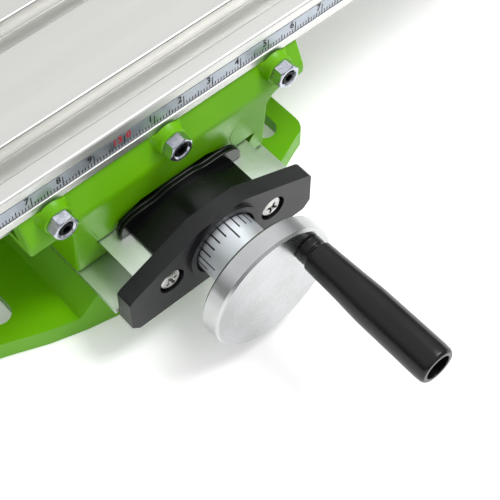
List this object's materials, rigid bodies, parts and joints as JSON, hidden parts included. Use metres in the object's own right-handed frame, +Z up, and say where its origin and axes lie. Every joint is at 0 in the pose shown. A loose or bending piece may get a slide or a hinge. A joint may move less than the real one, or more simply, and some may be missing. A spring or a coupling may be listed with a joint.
{
  "type": "compound cross-slide milling table",
  "caption": "Compound cross-slide table: slotted base with a dovetail rail, sliding saddle and T-slot table, each moved by a leadscrew with dial and cranked handwheel.",
  "frame": {"origin": "middle of the base's underside, on its flat foot", "axes": "+X along the T-slot table towards its handwheel, +Z up out of the table, and the saddle's handwheel points to -Y"},
  "size_m": [0.3978, 0.2548, 0.0687],
  "materials": {
    "green_enamel": "glossy yellow-green powder coat on a cast body",
    "aluminium": "extruded and clear anodised, satin, with fine drawn lines",
    "black_plastic": "moulded black, satin to glossy",
    "steel": "zinc plated or bright turned",
    "turned_metal": "turned, polished rim and a fine matt face",
    "black_oxide": "blackened steel",
    "bronze": "plain machined bronze",
    "tape": "thin satin strip with printed black and red graduations"
  },
  "bodies": {
    "base": {"base": "green_enamel", "front_bush": "bronze", "front_end_plate": "black_plastic", "front_plate_screw_left": "steel", "front_plate_screw_right": "steel", "rail_bolt_1": "steel", "rail_bolt_2": "steel", "rail_bolt_3": "steel", "rail_bolt_4": "steel", "rear_bush": "bronze", "rear_end_plate": "black_plastic", "rear_plate_screw_left": "steel", "rear_plate_screw_right": "steel", "y_rail": "aluminium"},
    "saddle": {"saddle": "green_enamel", "screw_cover": "black_plastic", "x_gib": "steel", "x_gib_nut_1": "steel", "x_gib_nut_2": "steel", "x_gib_nut_3": "steel", "x_gib_screw_1": "black_oxide", "x_gib_screw_2": "black_oxide", "x_gib_screw_3": "black_oxide", "x_nut": "bronze", "x_nut_screw": "steel", "y_gib": "steel", "y_gib_nut_1": "steel", "y_gib_nut_2": "steel", "y_gib_nut_3": "steel", "y_gib_screw_1": "black_oxide", "y_gib_screw_2": "black_oxide", "y_gib_screw_3": "black_oxide", "y_nut": "bronze", "y_nut_screw": "steel"},
    "table": {"left_bush": "bronze", "left_end_plate": "black_plastic", "left_plate_screw_back": "steel", "left_plate_screw_front": "steel", "right_bush": "bronze", "right_end_plate": "black_plastic", "right_plate_screw_back": "steel", "right_plate_screw_front": "steel", "scale_tape": "tape", "table": "aluminium"},
    "y_screw": {"y_leadscrew": "steel", "y_end_nut": "steel", "y_dial": "turned_metal", "y_handwheel": "turned_metal", "y_drive_pin": "steel", "y_handle_pin": "steel"},
    "y_grip": {"y_handle": "black_plastic"},
    "x_screw": {"x_leadscrew": "steel", "x_end_nut": "steel", "x_dial": "turned_metal", "x_handwheel": "turned_metal", "x_drive_pin": "steel", "x_handle_pin": "steel"},
    "x_grip": {"x_handle": "black_plastic"}
  },
  "joints": [
    {"name": "y_handwheel_turn", "type": "hinge", "parent": "base", "child": "y_screw", "pos_m": [0.006, -0.0894, 0.0247], "axis": [0, 1, 0], "range_deg": [0, 15841]},
    {"name": "y_slide", "type": "slide", "parent": "base", "child": "saddle", "axis": [0, 1, 0], "range_m": [0, 0.055]},
    {"name": "x_handwheel_turn", "type": "hinge", "parent": "table", "child": "x_screw", "pos_m": [0.1669, -0.0209, 0.0482], "axis": [1, 0, 0], "range_deg": [-28081, 28081]},
    {"name": "x_slide", "type": "slide", "parent": "saddle", "child": "table", "axis": [1, 0, 0], "range_m": [-0.0975, 0.0975]},
    {"name": "y_handle_spin", "type": "hinge", "parent": "y_screw", "child": "y_grip", "pos_m": [0.0173, -0.11055, 0.03395], "axis": [0, 1, 0], "continuous": true},
    {"name": "x_handle_spin", "type": "hinge", "parent": "x_screw", "child": "x_grip", "pos_m": [0.18805, -0.0096, 0.05745], "axis": [1, 0, 0], "continuous": true}
  ],
  "couplings": [
    {"joint": "y_handwheel_turn", "follows": "y_slide", "rad_per_m": 5026.5},
    {"joint": "x_handwheel_turn", "follows": "x_slide", "rad_per_m": 5026.5}
  ]
}
